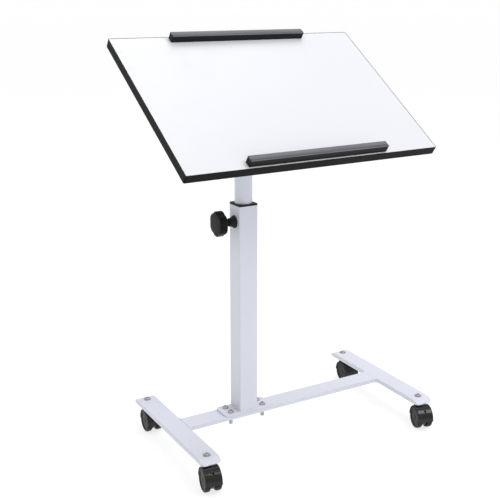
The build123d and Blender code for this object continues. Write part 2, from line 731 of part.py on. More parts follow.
NODES = make_nodes()
ORIGIN = footprint_centre(NODES)
os.makedirs("parts", exist_ok=True)
for node_name, shape in NODES.items():
    placed = Pos(-ORIGIN.X, -ORIGIN.Y, -ORIGIN.Z) * shape
    export_step(placed, f"parts/{node_name}.step")
print("nodes:", len(NODES), " origin from the column's foot:", ORIGIN)
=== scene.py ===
# %% [markdown]
# # A drawing board on a wheeled stand
# The object is a white board on a square steel column, over an H-shaped base with four twin-wheel
# casters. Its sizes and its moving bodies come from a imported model, which is loaded first and is never
# moved or changed. Blender adds the finishes and the pieces whose form follows a rule: knobs, wheels,
# threads and weld beads. Everything is in metres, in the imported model's own frame.

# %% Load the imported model
import json
import math

import bpy
from mathutils import Matrix, Vector


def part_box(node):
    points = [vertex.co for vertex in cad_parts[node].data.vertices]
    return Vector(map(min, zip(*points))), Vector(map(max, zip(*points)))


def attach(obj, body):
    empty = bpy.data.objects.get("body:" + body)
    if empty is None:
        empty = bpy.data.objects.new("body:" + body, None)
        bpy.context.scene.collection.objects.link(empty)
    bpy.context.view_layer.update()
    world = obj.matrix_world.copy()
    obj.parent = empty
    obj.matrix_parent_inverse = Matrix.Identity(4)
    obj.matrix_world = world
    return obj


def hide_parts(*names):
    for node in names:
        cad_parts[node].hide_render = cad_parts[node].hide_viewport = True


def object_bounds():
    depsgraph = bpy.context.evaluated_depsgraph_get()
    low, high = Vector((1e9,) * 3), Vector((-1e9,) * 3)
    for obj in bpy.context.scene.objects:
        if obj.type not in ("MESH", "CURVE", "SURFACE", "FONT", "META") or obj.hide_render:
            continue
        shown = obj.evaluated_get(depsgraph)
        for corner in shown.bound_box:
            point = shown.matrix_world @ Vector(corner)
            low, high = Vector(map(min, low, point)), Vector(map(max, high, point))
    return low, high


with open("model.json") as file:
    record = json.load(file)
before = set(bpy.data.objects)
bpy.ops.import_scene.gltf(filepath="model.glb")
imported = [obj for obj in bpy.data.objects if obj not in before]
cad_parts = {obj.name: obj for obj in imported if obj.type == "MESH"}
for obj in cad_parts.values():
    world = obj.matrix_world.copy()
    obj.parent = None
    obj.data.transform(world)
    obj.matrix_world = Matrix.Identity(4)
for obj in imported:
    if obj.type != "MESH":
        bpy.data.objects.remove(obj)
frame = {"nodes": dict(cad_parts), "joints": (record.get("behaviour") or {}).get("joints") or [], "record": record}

cad_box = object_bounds()
nodes = frame["nodes"]
joints = {joint["name"]: joint for joint in frame["joints"]}
corners = [[round(x, 3) for x in corner] for corner in cad_box]
print("packed nodes:", len(nodes), " joints:", len(joints), " box:", corners)

# %% [markdown]
# ## Node trees written as sums
# A material or a Geometry Nodes tree can be wired node by node, but its maths is then hard to read. A
# small class wraps one output socket and gives it Python's operators, so that `1 - mask * 0.5` adds the
# Math nodes by itself. The same class serves both kinds of tree.

# %% A socket that takes part in a sum
class Value:
    """One output socket of a node tree, usable in a Python expression."""

    def __init__(self, tree, socket):
        self.tree = tree
        self.socket = socket

    def output(self, name):
        """Another output of the same node."""
        return Value(self.tree, self.socket.node.outputs[name])

    def __add__(self, other):
        return self.tree.maths("ADD", self, other)

    def __radd__(self, other):
        return self.tree.maths("ADD", other, self)

    def __sub__(self, other):
        return self.tree.maths("SUBTRACT", self, other)

    def __rsub__(self, other):
        return self.tree.maths("SUBTRACT", other, self)

    def __mul__(self, other):
        return self.tree.maths("MULTIPLY", self, other)

    def __rmul__(self, other):
        return self.tree.maths("MULTIPLY", other, self)

    def __truediv__(self, other):
        return self.tree.maths("DIVIDE", self, other)

    def between(self, low, high):
        """0 below low, 1 above high, and a smooth step in between."""
        settings = {"interpolation_type": "SMOOTHSTEP"}
        inputs = {"Value": self, "From Min": low, "From Max": high}
        return self.tree.node("ShaderNodeMapRange", settings, inputs)


print("sockets can be added, multiplied and stepped")

# %% A node tree that is built by one method
class Tree:
    """A node tree under construction. Its node() adds any node and returns one of its outputs."""

    def __init__(self, tree):
        self.tree = tree

    def node(self, kind, settings=None, inputs=None, output=0):
        """Adds a node: its settings first, then the numbers or links of its sockets."""
        made = self.tree.nodes.new(kind)
        for name, setting in (settings or {}).items():
            setattr(made, name, setting)
        for key, value in (inputs or {}).items():
            self.feed(made.inputs[key], value)
        return Value(self, made.outputs[output])

    def feed(self, socket, value):
        """Links a Value to a socket, or sets the socket to a plain number or colour."""
        if isinstance(value, Value):
            self.tree.links.new(value.socket, socket)
        else:
            socket.default_value = value

    def maths(self, operation, *terms):
        """A Math node on these terms."""
        return self.node("ShaderNodeMath", {"operation": operation}, dict(enumerate(terms)))

    def vector(self, operation, first, second):
        """A Vector Math node on two vectors."""
        return self.node("ShaderNodeVectorMath", {"operation": operation}, {0: first, 1: second})

    def parts(self, vector):
        """The three numbers of a vector."""
        x = self.node("ShaderNodeSeparateXYZ", None, {0: vector})
        return x, x.output("Y"), x.output("Z")


print("tree builder ready")

# %% [markdown]
# ## Materials with detail at three scales
# A real finish is never one flat colour. Each material here has a broad drift of tone over the whole
# piece, patches about the size of a finger, and a fine grain that catches the light through a Bump node.
# All patterns read Object coordinates, in metres, so their sizes are the real ones.

# %% A material with its shader
class Finish(Tree):
    """A material that ends in one Principled shader. Constant sockets are given when it is made."""

    def __init__(self, name, **constants):
        self.material = bpy.data.materials.new(name)
        self.material.use_nodes = True
        super().__init__(self.material.node_tree)
        self.tree.nodes.clear()
        self.shader = self.tree.nodes.new("ShaderNodeBsdfPrincipled")
        end = self.tree.nodes.new("ShaderNodeOutputMaterial")
        self.tree.links.new(self.shader.outputs["BSDF"], end.inputs["Surface"])
        for key, value in constants.items():
            self.shader.inputs[key.replace("_", " ")].default_value = value
        self.here = self.node("ShaderNodeTexCoord", output="Object")

    def noise(self, size, detail=2.0, stretch=(1.0, 1.0, 1.0), start=(0.0, 0.0, 0.0)):
        """Random values about 0.5 whose lumps are size metres across, made longer along each axis."""
        place = self.vector("ADD", self.here, start)
        scale = [1 / (size * factor) for factor in stretch]
        place = self.vector("MULTIPLY", place, scale)
        settings = {"noise_dimensions": "3D"}
        return self.node("ShaderNodeTexNoise", settings, {"Vector": place, "Scale": 1.0, "Detail": detail})

    def cells(self, per_metre):
        """Cells, this many to a metre: a random tone for each, and the distance from its middle."""
        inputs = {"Vector": self.here, "Scale": per_metre}
        cell = self.node("ShaderNodeTexVoronoi", {"feature": "F1"}, inputs)
        tone = self.node("ShaderNodeSeparateColor", None, {0: cell.output("Color")})
        return tone, cell.output("Distance")

    def mix(self, factor, dark, light):
        """A colour between two colours."""
        settings = {"data_type": "RGBA"}
        return self.node("ShaderNodeMix", settings, {0: factor, 6: dark, 7: light}, output=2)

    def surface(self, colour, roughness, height, depth):
        """Sets what varies over the surface. The height, from 0 to 1, stands for depth metres."""
        self.feed(self.shader.inputs["Base Color"], colour)
        self.feed(self.shader.inputs["Roughness"], roughness)
        bump = self.node("ShaderNodeBump", None, {"Height": height, "Distance": depth})
        self.feed(self.shader.inputs["Normal"], bump)
        return self.material


PLAIN = (1.0, 1.0, 1.0)
COLD = (0.985, 1.0, 1.05)
LAVENDER = (0.975, 1.0, 1.125)
WARM = (1.04, 1.0, 0.94)


def grey(level, tint=PLAIN):
    """A grey of this brightness, leaning towards a tint."""
    return (level * tint[0], level * tint[1], level * tint[2], 1.0)


print("finish builder ready")

# %% [markdown]
# ## White melamine
# The board's faces are paper soaked in melamine resin and pressed against a textured plate. The result is
# a hard satin white with a very shallow pebbled relief. Use leaves faint rubbed patches, which show as
# small changes of gloss more than of colour, so most of the variation goes to roughness.

# %% Melamine for the two faces of the board
def melamine():
    """Hard satin white, with shallow pebbles and a few rubbed patches."""
    finish = Finish("white_melamine", Specular_IOR_Level=0.45)
    drift = finish.noise(0.22, detail=3)
    rubbed = finish.noise(0.035, detail=4, stretch=(2.2, 1, 1)).between(0.52, 0.72)
    pebbles = finish.noise(0.0011, detail=2)
    specks = finish.noise(0.0035, detail=1).between(0.70, 0.78)
    colour = finish.mix(drift, grey(0.610, COLD), grey(0.635, COLD))
    colour = finish.mix(specks * 0.2, colour, grey(0.63, PLAIN))
    roughness = 0.36 + 0.10 * rubbed + 0.05 * pebbles
    return finish.surface(colour, roughness, pebbles + 0.25 * rubbed, 0.00006)


white_melamine = melamine()
print("made", white_melamine.name)

# %% [markdown]
# ## White powder coat
# The steel is sprayed with dry powder and baked, so the skin is thick, satin and slightly wavy, like the
# peel of an orange. Two sizes of noise make the waves, and a slow drift keeps long tubes from looking
# computed. A trace of grey gathers low down, where the floor's dust reaches it.

# %% Powder coat for the stand
def powder_coat():
    """Satin white paint with orange peel, and a breath of dust near the floor."""
    finish = Finish("white_powder_coat", Specular_IOR_Level=0.5, Coat_Roughness=0.3)
    across, back, height = finish.parts(finish.here)
    drift = finish.noise(0.12, detail=2)
    peel = finish.noise(0.0026, detail=1)
    fine = finish.noise(0.0007, detail=2)
    dust = (1 - height.between(0.045, 0.16)) * finish.noise(0.012, detail=5).between(0.42, 0.70)
    colour = finish.mix(drift, grey(0.635, LAVENDER), grey(0.665, LAVENDER))
    colour = finish.mix(dust * 0.05, colour, grey(0.45, WARM))
    roughness = 0.34 + 0.08 * drift + 0.18 * dust
    finish.feed(finish.shader.inputs["Coat Weight"], 0.25 - 0.2 * dust)
    return finish.surface(colour, roughness, peel + 0.35 * fine, 0.00009)


white_paint = powder_coat()
print("made", white_paint.name)

# %% [markdown]
# ## Black edging and stop bars
# The edging is a strip of coloured plastic, ironed on and trimmed flush, so its grain runs lengthwise and
# the trimmed corner is a little paler. The stop bars are drawn through a die: long shallow draw lines run
# from end to end. Noise that is stretched along the board's long side gives such lines. The tops of the
# bars are painted paler than their sides, as light from above falls on them, more so towards the back, with
# a painted highlight along the front top corner, so their finish reads how far each place lies above the
# drawing surface and across the bar.

# %% Edging strip
def edging():
    """Near-black plastic strip with a fine grain and pale trim marks."""
    finish = Finish("edging_strip", Specular_IOR_Level=0.08)
    grain = finish.noise(0.0012, detail=3, stretch=(12, 1, 1))
    patches = finish.noise(0.03, detail=3)
    scuffs = finish.noise(0.004, detail=6, stretch=(3, 1, 1)).between(0.64, 0.76)
    colour = finish.mix(patches, grey(0.004, COLD), grey(0.008, COLD))
    colour = finish.mix(scuffs * 0.4, colour, grey(0.03, COLD))
    roughness = 0.42 + 0.12 * patches + 0.12 * scuffs
    return finish.surface(colour, roughness, grain, 0.00008)


black_edging = edging()
print("made", black_edging.name)

# %% Stop bars
# Where one tone turns into the next, in metres: up from the drawing surface for a bar's painted lit top, and back
# from the bar's middle for the other two: the top's paler back, and the painted highlight on its front corner.
SIDE_TO_TOP = (0.0138, 0.0154)
FRONT_TO_BACK = (-0.0055, 0.0050)
FRONT_CORNER = (-0.0076, -0.0064)

drawing_surface = frame["record"]["mounts"][0]


def drawn_bar(node):
    """Near-black satin bar with lengthwise lines, its top painted paler as if lit, more towards its back, and a
    painted highlight on its front corner.
    """
    finish = Finish(node + "_bar", Specular_IOR_Level=0.14)
    low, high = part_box(node)
    along = Vector(joints["board_tilt"]["axis"]).normalized()
    upward = Vector(drawing_surface["axis"])

    def distance(point, direction):
        """How far each place lies from a point, measured along a direction."""
        offset = finish.vector("SUBTRACT", finish.here, tuple(point))
        inputs = {0: offset, 1: tuple(direction)}
        return finish.node("ShaderNodeVectorMath", {"operation": "DOT_PRODUCT"}, inputs, output="Value")

    lines = finish.noise(0.0016, detail=3, stretch=(160, 1, 1))
    broad = finish.noise(0.006, detail=1, stretch=(40, 1, 1))
    grain = finish.noise(0.0006, detail=2)
    dust = finish.noise(0.0045, detail=6).between(0.60, 0.80)
    above = distance(drawing_surface["pos_m"], upward)
    across = distance((low + high) / 2, upward.cross(along))
    # Painted light: the top face is coloured paler than the sides, as light falling from above makes it look.
    lit_top = above.between(*SIDE_TO_TOP)
    towards_back = (across + 0.004 * broad).between(*FRONT_TO_BACK)
    # A painted highlight along the bar's front top corner, where its rounded edge catches the light.
    front_edge_highlight = 1 - across.between(*FRONT_CORNER)
    sides = finish.mix(lines, grey(0.005, LAVENDER), grey(0.012, LAVENDER))
    # The painted lit top colour, paler towards the back, before the draw lines darken it a little.
    tread_wear_and_lit_top = finish.mix(towards_back, grey(0.070, LAVENDER), grey(0.165, LAVENDER))
    # The painted highlight: the front corner of the top is coloured paler still.
    tread_wear_and_lit_top = finish.mix(front_edge_highlight * 0.7, tread_wear_and_lit_top, grey(0.26, LAVENDER))
    tread_wear_and_lit_top = finish.mix(lines.between(0.35, 0.65) * 0.35, tread_wear_and_lit_top, grey(0.045, LAVENDER))
    colour = finish.mix(lit_top, sides, tread_wear_and_lit_top)
    colour = finish.mix(dust * 0.12, colour, grey(0.11, COLD))
    roughness = 0.36 + 0.16 * broad + 0.12 * dust
    return finish.surface(colour, roughness, lines + 0.3 * grain, 0.00014)


stop_finishes = {node: drawn_bar(node) for node in ("front_stop", "back_stop")}
print("made", *(finish.name for finish in stop_finishes.values()))

# %% [markdown]
# ## Moulded black plastics
# Knobs and bushes come from a mould that was etched by sparks, so they have a fine even grain. The caster
# hoods are glass-smooth nylon with the fine scratches that a floor leaves. One function makes them all,
# and its arguments say how fine, how glossy and how worn each one is.

# %% Moulded plastic in several grades
def moulded(name, level, shine, gloss_rough, grain_size, grain_depth, wear):
    """Black plastic: its grey level, its shine and roughness, its mould grain and how scratched it is."""
    finish = Finish(name, Specular_IOR_Level=shine)
    patches = finish.noise(0.014, detail=3)
    grain = finish.noise(grain_size, detail=2)
    scratches = finish.noise(0.0009, detail=4, stretch=(1, 1, 14)).between(0.60, 0.72)
    dust = finish.noise(0.006, detail=6).between(0.50, 0.80)
    colour = finish.mix(patches, grey(level, LAVENDER), grey(level * 1.5, LAVENDER))
    colour = finish.mix((scratches * 0.6 + dust * 0.4) * wear, colour, grey(level * 4.5, PLAIN))
    roughness = gloss_rough + 0.10 * patches + 0.25 * wear * scratches + 0.2 * wear * dust
    return finish.surface(colour, roughness, grain + wear * scratches * -0.6, grain_depth)


knob_plastic = moulded("knob_plastic", 0.005, 0.10, 0.34, 0.0007, 0.00008, 0.15)
bush_plastic = moulded("bush_plastic", 0.007, 0.20, 0.46, 0.0009, 0.00008, 0.20)
hood_plastic = moulded("hood_plastic", 0.006, 0.38, 0.16, 0.0030, 0.00003, 0.25)
print("made", knob_plastic.name, bush_plastic.name, hood_plastic.name)

# %% [markdown]
# ## Zinc, nylon and particle board
# Bright zinc plate has small crystals that differ in tone and gloss, which a Voronoi texture shows well.
# Nylon is milky and soft. The board's core is pressed wood chips: cells of several browns with glue
# between them. Little of it shows, but it shows in the screw holes.

# %% Zinc plate
def zinc():
    """Bright plated steel with fine crystals and a faint cold tint."""
    finish = Finish("bright_zinc", Metallic=1.0)
    tone, _ = finish.cells(1400.0)
    drift = finish.noise(0.004, detail=3)
    tarnish = finish.noise(0.0025, detail=5).between(0.55, 0.75)
    colour = finish.mix(tone, grey(0.42, COLD), grey(0.56, PLAIN))
    colour = finish.mix(tarnish * 0.45, colour, grey(0.20, WARM))
    roughness = 0.24 + 0.12 * drift + 0.14 * tarnish
    return finish.surface(colour, roughness, tone + drift, 0.00003)


bright_zinc = zinc()
print("made", bright_zinc.name)

# %% Nylon
def nylon():
    """Milky natural nylon."""
    finish = Finish("natural_nylon", Subsurface_Weight=0.2, Subsurface_Scale=0.002)
    clouds = finish.noise(0.006, detail=3)
    grain = finish.noise(0.0006, detail=2)
    colour = finish.mix(clouds, grey(0.62, WARM), grey(0.72, WARM))
    return finish.surface(colour, 0.40 + 0.12 * clouds, grain, 0.00006)


milky_nylon = nylon()
print("made", milky_nylon.name)

# %% Particle board
def particle_board():
    """Pressed wood chips with darker glue between them."""
    finish = Finish("particle_board")
    tone, from_middle = finish.cells(420.0)
    gaps = from_middle.between(0.35, 0.75)
    colour = finish.mix(tone, (0.62, 0.45, 0.27, 1.0), (0.42, 0.28, 0.15, 1.0))
    colour = finish.mix(gaps * 0.6, colour, (0.20, 0.12, 0.06, 1.0))
    return finish.surface(colour, 0.75 + 0.15 * tone, tone - gaps, 0.0002)


chipboard = particle_board()
print("made", chipboard.name)

# %% [markdown]
# ## Wheels that have met a floor
# A caster wheel is dark nylon. Its disc stays clean, while the tread turns grey where it rolls. The wheel
# pieces below store how far each point is from the axle in an attribute named `reach`, and the material
# reads it, so the worn band follows the tread however the wheel is turned.

# %% Wheel nylon
def wheel_nylon():
    """Dark grey nylon that is paler and duller on the tread."""
    finish = Finish("wheel_nylon", Specular_IOR_Level=0.20)
    reach = finish.node("ShaderNodeAttribute", {"attribute_name": "reach"}, output="Fac")
    patches = finish.noise(0.010, detail=4)
    grain = finish.noise(0.0008, detail=2)
    tread_wear_and_lit_top = reach.between(0.93, 0.99) * patches.between(0.25, 0.60)
    rim = reach.between(0.78, 0.82) * (1 - reach.between(0.93, 0.97))
    colour = finish.mix(patches, grey(0.010, COLD), grey(0.018, COLD))
    colour = finish.mix(rim * 0.6, colour, grey(0.008, COLD))
    colour = finish.mix(tread_wear_and_lit_top * 0.4, colour, grey(0.06, WARM))
    roughness = 0.36 + 0.10 * patches + 0.22 * tread_wear_and_lit_top
    return finish.surface(colour, roughness, grain + 0.4 * patches, 0.00008)


tread_nylon = wheel_nylon()
print("made", tread_nylon.name)

# %% [markdown]
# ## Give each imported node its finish
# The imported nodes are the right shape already, so they stay and only take a better material. Each comes in
# with a plain material named after its slot in the record. One table from slot to finish dresses them all,
# apart from the two stop bars, whose finishes follow their own place on the board.

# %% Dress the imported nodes
FINISH_OF_SLOT = {
    "core_wood": chipboard,
    "white_laminate": white_melamine,
    "black_edging": black_edging,
    "white_steel": white_paint,
    "zinc_steel": bright_zinc,
    "nylon": milky_nylon,
    "black_plastic": bush_plastic,
    "caster_black": hood_plastic,
    "wheel_black": tread_nylon,
}


def dress(piece, material):
    """Puts one material in all of a mesh's slots."""
    slots = piece.data.materials
    if not slots:
        slots.append(material)
    for index in range(len(slots)):
        slots[index] = material


for name, node in nodes.items():
    slot = node.data.materials[0].name
    dress(node, stop_finishes.get(name) or FINISH_OF_SLOT[slot])
print("dressed", len(nodes), "packed nodes")

# %% [markdown]
# ## Geometry Nodes from Python
# A Geometry Nodes tree is a recipe with named inputs. The class below adds those inputs, and `cook` runs
# the recipe on a mesh, keeps the result as a plain mesh and removes the modifier. An input is set by its
# socket's identifier, because two inputs may share a name. Every recipe ends by realizing its instances
# and setting its material, since an export drops instances.

# %% A recipe with named inputs
SOCKETS = {int: "NodeSocketInt", float: "NodeSocketFloat", bpy.types.Material: "NodeSocketMaterial"}


class Recipe(Tree):
    """A Geometry Nodes tree. Its inputs are read as attributes of the source node."""

    def __init__(self, name, **inputs):
        group = bpy.data.node_groups.new(name, "GeometryNodeTree")
        super().__init__(group)
        group.interface.new_socket("Geometry", in_out="INPUT", socket_type="NodeSocketGeometry")
        group.interface.new_socket("Geometry", in_out="OUTPUT", socket_type="NodeSocketGeometry")
        self.identifiers = {}
        for label, kind in inputs.items():
            label = label.replace("_", " ")
            socket = group.interface.new_socket(label, in_out="INPUT", socket_type=SOCKETS[kind])
            self.identifiers[label] = socket.identifier
        self.source = self.node("NodeGroupInput")

    def given(self, label):
        """The value of one named input."""
        return self.source.output(label)

    def finish(self, geometry):
        """Ends the recipe: real meshes, one material, and the output."""
        solid = self.node("GeometryNodeRealizeInstances", None, {0: geometry})
        inputs = {"Geometry": solid, "Material": self.given("Finish")}
        dressed = self.node("GeometryNodeSetMaterial", None, inputs)
        end = self.tree.nodes.new("NodeGroupOutput")
        self.feed(end.inputs[0], dressed)

    def cook(self, name, points, edges, place=Matrix.Identity(4), **values):
        """Runs the recipe on points and edges, and returns a plain mesh object at the origin."""
        seed = bpy.data.meshes.new(name + "_seed")
        seed.from_pydata([tuple(point) for point in points], edges, [])
        holder = bpy.data.objects.new(name + "_seed", seed)
        bpy.context.scene.collection.objects.link(holder)
        modifier = holder.modifiers.new("recipe", "NODES")
        modifier.node_group = self.tree
        for label, value in values.items():
            modifier[self.identifiers[label.replace("_", " ")]] = value
        evaluated = holder.evaluated_get(bpy.context.evaluated_depsgraph_get())
        mesh = bpy.data.meshes.new_from_object(evaluated)
        holder.modifiers.remove(modifier)
        bpy.data.objects.remove(holder)
        mesh.transform(place)
        mesh.name = name
        piece = bpy.data.objects.new(name, mesh)
        bpy.context.scene.collection.objects.link(piece)
        return piece


def chain(count, closed=False):
    """The edges that join points in a row, and the last to the first if closed."""
    edges = [(i, i + 1) for i in range(count - 1)]
    return edges + [(count - 1, 0)] if closed else edges


print("recipe builder ready")

# %% [markdown]
# ## The turning recipe
# Wheels and knobs are turned forms: half an outline, carried round an axis. The recipe lays a flat grid,
# reads the outline at each row, and bends the grid round the axis with a sine and a cosine. Since every
# point knows its angle, the same recipe can push valleys into the rim, and a plain disc becomes a star
# knob. Spin or a Screw modifier would turn the outline too, but couldn't press in the valleys.

# %% Build the turning recipe
VALLEY_POWER = 1.5
CORNER_STEPS = 4
SEAM_GAP = 0.00001


def turning_recipe():
    """An outline in X (from the axis) and Z (along it), turned about Z, with optional valleys in its rim."""
    recipe = Recipe(
        "Turning",
        Steps_round=int,
        Steps_along=int,
        Corner_radius=float,
        Lobes=int,
        Valley_depth=float,
        Valley_start=float,
        Rim_radius=float,
        Finish=bpy.types.Material,
    )
    given = recipe.given
    outline = recipe.node("GeometryNodeMeshToCurve", None, {"Mesh": recipe.source})
    rounding = {
        "Curve": outline,
        "Radius": given("Corner radius"),
        "Count": CORNER_STEPS,
        "Limit Radius": True,
    }
    outline = recipe.node("GeometryNodeFilletCurve", {"mode": "POLY"}, rounding)
    size = {
        "Size X": 1.0,
        "Size Y": 1.0,
        "Vertices X": given("Steps round") + 1,
        "Vertices Y": given("Steps along"),
    }
    grid = recipe.node("GeometryNodeMeshGrid", None, size)
    turn, along, _ = recipe.parts(recipe.node("GeometryNodeInputPosition"))
    angle = (turn + 0.5) * math.tau
    station = {"Curves": outline, "Factor": along + 0.5}
    sample = recipe.node("GeometryNodeSampleCurve", {"mode": "FACTOR"}, station, output="Position")
    radius, _, height = recipe.parts(sample)
    fade = radius.between(given("Valley start"), given("Rim radius"))
    wave = 0.5 - 0.5 * recipe.maths("COSINE", angle * given("Lobes"))
    valley = recipe.maths("POWER", wave, VALLEY_POWER)
    reach = radius * (1 - fade * valley * given("Valley depth"))
    x = reach * recipe.maths("COSINE", angle)
    y = reach * recipe.maths("SINE", angle)
    spot = recipe.node("ShaderNodeCombineXYZ", None, {0: x, 1: y, 2: height})
    turned = recipe.node("GeometryNodeSetPosition", None, {"Geometry": grid, "Position": spot})
    share = {"Geometry": turned, "Name": "reach", "Value": radius / given("Rim radius")}
    turned = recipe.node("GeometryNodeStoreNamedAttribute", {"data_type": "FLOAT"}, share)
    turned = recipe.node("GeometryNodeMergeByDistance", None, {"Geometry": turned, "Distance": SEAM_GAP})
    recipe.finish(recipe.node("GeometryNodeSetShadeSmooth", None, {"Geometry": turned}))
    return recipe


turning = turning_recipe()
print("recipe ready:", turning.tree.name, "with", len(turning.identifiers), "inputs")

# %% [markdown]
# ## Where a turned piece stands
# A joint in the record gives a point and a direction. A matrix built from them carries a piece from its
# own axis, Z, to its place on the object, so no place is typed in twice.

# %% A place from an axis
def along_axis(point, axis, up=Vector((0, 0, 1))):
    """A matrix that puts the origin at point, turns Z to the axis and X as near to up as it goes."""
    z = Vector(axis).normalized()
    x = (up - z * up.dot(z)).normalized()
    y = z.cross(x)
    turn = Matrix((x, y, z)).transposed().to_4x4()
    return Matrix.Translation(Vector(point)) @ turn


def span_along(name, point, axis):
    """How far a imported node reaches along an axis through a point: its lowest and highest distance."""
    origin, direction = Vector(point), Vector(axis).normalized()
    reaches = [(vertex.co - origin).dot(direction) for vertex in nodes[name].data.vertices]
    return min(reaches), max(reaches)


def widest_round(name, point, axis):
    """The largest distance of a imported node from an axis."""
    origin, direction = Vector(point), Vector(axis).normalized()
    offsets = [vertex.co - origin for vertex in nodes[name].data.vertices]
    return max((offset - direction * offset.dot(direction)).length for offset in offsets)


print("placing helpers ready")

# %% [markdown]
# ## Star knobs
# A star knob is a thick disc with shallow rounded valleys for the fingers, a short neck and a smooth face
# that is very slightly domed, so that it sits well in the palm. Its outline is given as shares of the
# knob's radius and thickness, so that the large clamp knob and the small tilt knob share one outline.

# %% Make both knobs
def knob_outline(rim, hub, neck_length, total):
    """Half of a star knob, from the neck's end to the middle of the face."""
    head = total - neck_length
    return [
        (0.0, 0.0),
        (hub * 0.93, 0.0),
        (hub, hub * 0.08),
        (hub, neck_length * 0.70),
        (hub * 1.30, neck_length),
        (rim * 0.78, neck_length + head * 0.01),
        (rim * 0.94, neck_length + head * 0.05),
        (rim, neck_length + head * 0.16),
        (rim, neck_length + head * 0.82),
        (rim * 0.96, neck_length + head * 0.92),
        (rim * 0.86, total - head * 0.035),
        (rim * 0.50, total - head * 0.008),
        (0.0, total),
    ]


def star_knob(node, joint_name, body, hub, neck_share):
    """A star knob in place of a packed one, along its joint's axis."""
    joint = joints[joint_name]
    low, high = span_along(node, joint["pos_m"], joint["axis"])
    rim = widest_round(node, joint["pos_m"], joint["axis"])
    outline = knob_outline(rim, hub, (high - low) * neck_share, high - low)
    start = Vector(joint["pos_m"]) + Vector(joint["axis"]).normalized() * low
    piece = turning.cook(
        node + "_moulding",
        [(radius, 0, height) for radius, height in outline],
        chain(len(outline)),
        along_axis(start, joint["axis"]),
        Steps_round=144,
        Steps_along=96,
        Corner_radius=rim * 0.06,
        Lobes=6,
        Valley_depth=0.08,
        Valley_start=hub * 1.15,
        Rim_radius=rim,
        Finish=knob_plastic,
    )
    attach(piece, body)
    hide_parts(node)
    return piece


big_knob = star_knob("clamp_knob", "clamp_turn", "clamp_knob", hub=0.0085, neck_share=0.387)
small_knob = star_knob("tilt_knob", "tilt_knob_turn", "tilt_knob", hub=0.009, neck_share=0.458)
print("knob faces:", len(big_knob.data.polygons), len(small_knob.data.polygons))

# %% [markdown]
# ## Twin wheels
# Each caster has two wheels on one axle. A wheel has a rounded tread, a stepped rim, a slightly dished
# disc with a raised ring, and a cap over the axle. Its inner side is hollow, with a hub in the middle.
# The outline runs from the cap, over the tread, to the hub, so one turning makes the whole closed wheel.

# %% Make the eight wheels
def wheel_outline(rim, width, axle):
    """Half of a wheel: the outer side is at Z = width, and the inner side at Z = 0."""
    return [
        (0.0, width - rim * 0.035),
        (rim * 0.16, width - rim * 0.035),
        (rim * 0.20, width - rim * 0.065),
        (rim * 0.62, width - rim * 0.065),
        (rim * 0.64, width - rim * 0.045),
        (rim * 0.70, width - rim * 0.045),
        (rim * 0.72, width - rim * 0.065),
        (rim * 0.80, width - rim * 0.060),
        (rim * 0.82, width),
        (rim * 0.91, width),
        (rim * 0.97, width * 0.92),
        (rim, width * 0.80),
        (rim, width * 0.22),
        (rim * 0.97, width * 0.06),
        (rim * 0.91, 0.0),
        (rim * 0.84, 0.0),
        (rim * 0.84, width * 0.50),
        (rim * 0.28, width * 0.50),
        (rim * 0.28, width * 0.04),
        (axle, width * 0.04),
        (axle, width * 0.85),
        (0.0, width * 0.85),
    ]


def wheel(name, side):
    """One wheel in place of a packed one, turned about its own joint's axis."""
    joint = joints[name.replace("_wheel", "_spin")]
    outward = Vector(joint["axis"]).normalized() * side
    low, high = span_along(name, joint["pos_m"], outward)
    rim = widest_round(name, joint["pos_m"], joint["axis"])
    axle = widest_round(name.rsplit("_", 2)[0] + "_axle", joint["pos_m"], joint["axis"])
    outline = wheel_outline(rim, high - low, axle * 1.01)
    piece = turning.cook(
        name + "_moulding",
        [(radius, 0, height) for radius, height in outline],
        chain(len(outline)),
        along_axis(Vector(joint["pos_m"]) + outward * low, outward),
        Steps_round=96,
        Steps_along=110,
        Corner_radius=rim * 0.02,
        Lobes=0,
        Valley_depth=0.0,
        Valley_start=0.0,
        Rim_radius=rim,
        Finish=tread_nylon,
    )
    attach(piece, name)
    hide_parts(name)
    return piece


wheels = []
for caster in ("front_left", "front_right", "rear_left", "rear_right"):
    wheels.append(wheel(f"{caster}_left_wheel", -1))
    wheels.append(wheel(f"{caster}_right_wheel", 1))
print("wheels:", len(wheels), " faces each:", len(wheels[0].data.polygons))

# %% [markdown]
# ## Threads
# A thread is a ridge that climbs a rod as a helix. The Spiral node gives the path, and a small triangle
# swept along it gives the ridge. Instancing the ridge on a point for each rod threads all four foot bolts
# with one recipe. The ridge thins out at both ends, as a cut thread does.

# %% Build the thread recipe
RUN_OUT = 0.12
THIN_END = 0.05


def thread_recipe():
    """A helical ridge downwards from each point it is given."""
    recipe = Recipe(
        "Thread",
        Rod_radius=float,
        Pitch=float,
        Turns=float,
        Ridge=float,
        Finish=bpy.types.Material,
    )
    given = recipe.given
    climb = given("Pitch") * given("Turns") * -1.0
    path = {
        "Resolution": 28,
        "Rotations": given("Turns"),
        "Start Radius": given("Rod radius"),
        "End Radius": given("Rod radius"),
        "Height": climb,
    }
    helix = recipe.node("GeometryNodeCurveSpiral", None, path)
    place = recipe.node("GeometryNodeSplineParameter")
    full = place.between(0.0, RUN_OUT) * (1 - place.between(1 - RUN_OUT, 1.0))
    triangle = {"Resolution": 3, "Radius": given("Ridge")}
    section = recipe.node("GeometryNodeCurvePrimitiveCircle", None, triangle)
    thickness = THIN_END + (1 - THIN_END) * full
    sweep = {"Curve": helix, "Profile Curve": section, "Scale": thickness, "Fill Caps": True}
    ridge = recipe.node("GeometryNodeCurveToMesh", None, sweep)
    placed = {"Points": recipe.source, "Instance": ridge}
    recipe.finish(recipe.node("GeometryNodeInstanceOnPoints", None, placed))
    return recipe


threads = thread_recipe()
print("recipe ready:", threads.tree.name)

